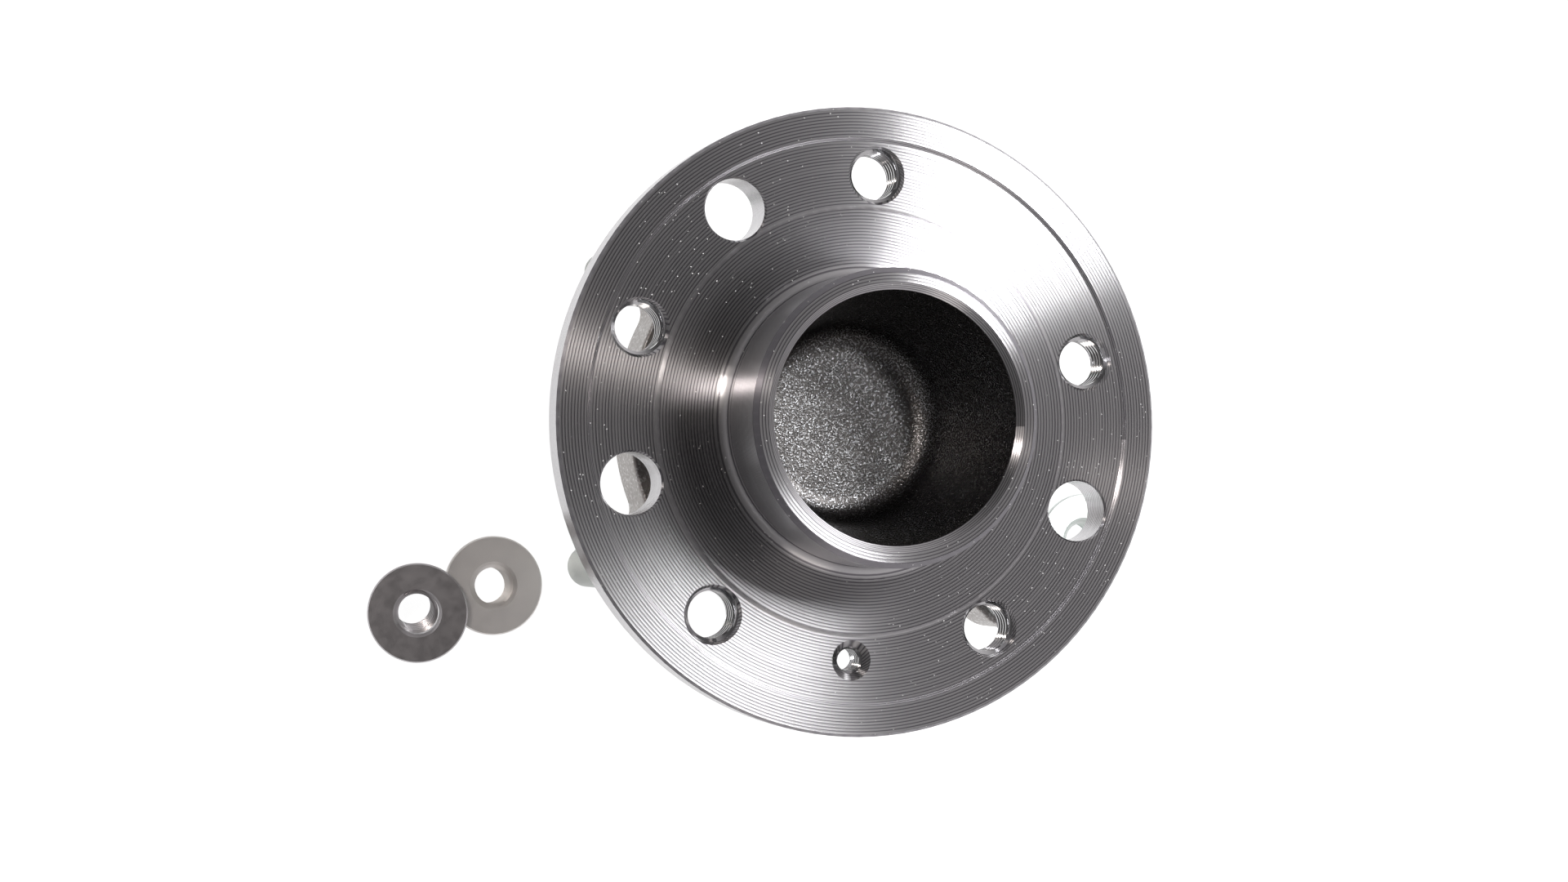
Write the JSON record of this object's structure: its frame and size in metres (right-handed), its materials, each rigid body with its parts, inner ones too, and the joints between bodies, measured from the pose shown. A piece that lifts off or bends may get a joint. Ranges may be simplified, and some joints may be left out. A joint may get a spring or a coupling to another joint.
{
  "type": "wheel hub bearing",
  "caption": "Flanged wheel hub bearing unit: turned wheel flange with a hollow centring spigot, spinning in a stud-mounted outer ring, with loose flange nuts.",
  "frame": {"origin": "centre of the wheel-mounting face, on the spin axis", "axes": "+Z along the spin axis, away from the car; +X along the wider spacing of the studs"},
  "size_m": [0.1917, 0.14, 0.0972],
  "materials": {
    "turned_steel": "fine turned",
    "forged_steel": "as forged, machined faces",
    "bearing_steel": "ground",
    "zinc_steel": "zinc plated",
    "cage_plastic": "moulded",
    "seal_rubber": "matte",
    "encoder_rubber": "matte",
    "cap_plastic": "moulded",
    "sensor_plastic": "moulded",
    "pin_metal": "plated"
  },
  "bodies": {
    "housing": {"outer_ring": "forged_steel", "seal_case": "zinc_steel", "seal_lips": "seal_rubber", "rear_cap": "cap_plastic", "cap_o_ring": "seal_rubber", "speed_sensor": "sensor_plastic", "sensor_pin_1": "pin_metal", "sensor_pin_2": "pin_metal", "stud_1": "zinc_steel", "stud_2": "zinc_steel", "stud_3": "zinc_steel", "stud_4": "zinc_steel", "flange_nut_flat": "zinc_steel", "flange_nut_leaning": "zinc_steel", "flange_nut_under": "zinc_steel"},
    "hub": {"wheel_hub": "turned_steel", "inner_ring": "bearing_steel", "encoder_carrier": "zinc_steel", "encoder_ring": "encoder_rubber"},
    "outboard_row": {"cage_outboard": "cage_plastic", "balls_outboard": "bearing_steel"},
    "inboard_row": {"cage_inboard": "cage_plastic", "balls_inboard": "bearing_steel"}
  },
  "joints": [
    {"name": "hub_spin", "type": "hinge", "parent": "housing", "child": "hub", "pos_m": [0, 0, 0], "axis": [0, 0, 1], "continuous": true},
    {"name": "outboard_row_spin", "type": "hinge", "parent": "housing", "child": "outboard_row", "pos_m": [0, 0, -0.0285], "axis": [0, 0, 1], "continuous": true},
    {"name": "inboard_row_spin", "type": "hinge", "parent": "housing", "child": "inboard_row", "pos_m": [0, 0, -0.048], "axis": [0, 0, 1], "continuous": true}
  ],
  "couplings": [
    {"joint": "outboard_row_spin", "follows": "hub_spin", "ratio": 0.4176},
    {"joint": "inboard_row_spin", "follows": "hub_spin", "ratio": 0.4176}
  ]
}
